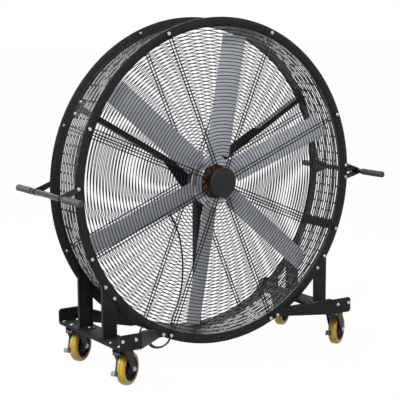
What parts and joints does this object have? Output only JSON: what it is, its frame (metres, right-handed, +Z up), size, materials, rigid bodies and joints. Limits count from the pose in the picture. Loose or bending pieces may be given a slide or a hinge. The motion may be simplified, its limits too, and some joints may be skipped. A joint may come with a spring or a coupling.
{
  "type": "drum fan",
  "caption": "Wheeled industrial drum fan: perforated round housing with wire guards, bladed rotor, side grips and swivel casters.",
  "frame": {"origin": "on the floor, under the middle of the drum, between the casters", "axes": "+Z up; the fan axis lies along Y and the air leaves towards -Y; +X is to the right seen from the front"},
  "size_m": [1.664, 0.61, 1.5899],
  "materials": {
    "black_powder_coat": "satin",
    "black_wire": "satin",
    "dark_plastic": "matt",
    "zinc": "bright zinc",
    "dark_metal": "satin",
    "stator_steel": "plain",
    "winding": "varnished copper",
    "steel": "ground",
    "aluminium": "mill",
    "grip_rubber": "matt",
    "cord_rubber": "matt",
    "wheel_black": "moulded",
    "tread_yellow": "polyurethane",
    "pedal_grey": "moulded"
  },
  "bodies": {
    "frame": {"drum_shell": "black_powder_coat", "front_ring": "black_powder_coat", "back_ring": "black_powder_coat", "front_guard_spokes": "black_wire", "front_guard_rings": "black_wire", "back_guard_spokes": "black_wire", "back_guard_rings": "black_wire", "guard_bolts": "zinc", "guard_cap": "dark_plastic", "motor_frame": "black_powder_coat", "stator_core": "stator_steel", "stator_windings": "winding", "motor_bearings": "steel", "left_base_plate": "black_powder_coat", "right_base_plate": "black_powder_coat", "posts": "black_powder_coat", "left_front_arm": "black_powder_coat", "left_back_arm": "black_powder_coat", "right_front_arm": "black_powder_coat", "right_back_arm": "black_powder_coat", "frame_bolts": "zinc", "left_handle": "black_powder_coat", "right_handle": "black_powder_coat", "handle_grips": "grip_rubber", "caster_plates": "zinc", "cord_fittings": "cord_rubber", "motor_lead": "cord_rubber", "power_cord": "cord_rubber", "cord_coil": "cord_rubber", "plug": "cord_rubber"},
    "rotor": {"rotor_bell": "dark_metal", "rotor_shaft": "steel", "blade_hub": "aluminium", "blade_1": "aluminium", "blade_2": "aluminium", "blade_3": "aluminium", "blade_4": "aluminium", "blade_5": "aluminium", "blade_6": "aluminium", "blade_bolts": "zinc"},
    "front_left_swivel": {"front_left_fork": "zinc"},
    "front_left_wheel": {"front_left_wheel_core": "wheel_black", "front_left_tyre": "tread_yellow"},
    "front_left_brake": {"front_left_pedal": "pedal_grey"},
    "front_right_swivel": {"front_right_fork": "zinc"},
    "front_right_wheel": {"front_right_wheel_core": "wheel_black", "front_right_tyre": "tread_yellow"},
    "front_right_brake": {"front_right_pedal": "pedal_grey"},
    "back_left_swivel": {"back_left_fork": "zinc"},
    "back_left_wheel": {"back_left_wheel_core": "wheel_black", "back_left_tyre": "tread_yellow"},
    "back_left_brake": {"back_left_pedal": "pedal_grey"},
    "back_right_swivel": {"back_right_fork": "zinc"},
    "back_right_wheel": {"back_right_wheel_core": "wheel_black", "back_right_tyre": "tread_yellow"},
    "back_right_brake": {"back_right_pedal": "pedal_grey"}
  },
  "joints": [
    {"name": "rotor_spin", "type": "hinge", "parent": "frame", "child": "rotor", "pos_m": [0, 0, 0.84], "axis": [0, 1, 0], "continuous": true},
    {"name": "front_left_swivel_turn", "type": "hinge", "parent": "frame", "child": "front_left_swivel", "pos_m": [-0.591, -0.221, 0.18], "axis": [0, 0, 1], "continuous": true},
    {"name": "front_left_wheel_roll", "type": "hinge", "parent": "front_left_swivel", "child": "front_left_wheel", "pos_m": [-0.55007, -0.19592, 0.075], "axis": [0.5225, -0.8526, 0], "continuous": true},
    {"name": "front_left_brake_press", "type": "hinge", "parent": "front_left_swivel", "child": "front_left_brake", "pos_m": [-0.62681, -0.24294, 0.16], "axis": [0.5225, -0.8526, 0], "range_deg": [0, 15]},
    {"name": "front_right_swivel_turn", "type": "hinge", "parent": "frame", "child": "front_right_swivel", "pos_m": [0.591, -0.221, 0.18], "axis": [0, 0, 1], "continuous": true},
    {"name": "front_right_wheel_roll", "type": "hinge", "parent": "front_right_swivel", "child": "front_right_wheel", "pos_m": [0.63193, -0.19592, 0.075], "axis": [0.5225, -0.8526, 0], "continuous": true},
    {"name": "front_right_brake_press", "type": "hinge", "parent": "front_right_swivel", "child": "front_right_brake", "pos_m": [0.55519, -0.24294, 0.16], "axis": [0.5225, -0.8526, 0], "range_deg": [0, 15]},
    {"name": "back_left_swivel_turn", "type": "hinge", "parent": "frame", "child": "back_left_swivel", "pos_m": [-0.591, 0.221, 0.18], "axis": [0, 0, 1], "continuous": true},
    {"name": "back_left_wheel_roll", "type": "hinge", "parent": "back_left_swivel", "child": "back_left_wheel", "pos_m": [-0.55007, 0.24608, 0.075], "axis": [0.5225, -0.8526, 0], "continuous": true},
    {"name": "back_left_brake_press", "type": "hinge", "parent": "back_left_swivel", "child": "back_left_brake", "pos_m": [-0.62681, 0.19906, 0.16], "axis": [0.5225, -0.8526, 0], "range_deg": [0, 15]},
    {"name": "back_right_swivel_turn", "type": "hinge", "parent": "frame", "child": "back_right_swivel", "pos_m": [0.591, 0.221, 0.18], "axis": [0, 0, 1], "continuous": true},
    {"name": "back_right_wheel_roll", "type": "hinge", "parent": "back_right_swivel", "child": "back_right_wheel", "pos_m": [0.63193, 0.24608, 0.075], "axis": [0.5225, -0.8526, 0], "continuous": true},
    {"name": "back_right_brake_press", "type": "hinge", "parent": "back_right_swivel", "child": "back_right_brake", "pos_m": [0.55519, 0.19906, 0.16], "axis": [0.5225, -0.8526, 0], "range_deg": [0, 15]}
  ]
}
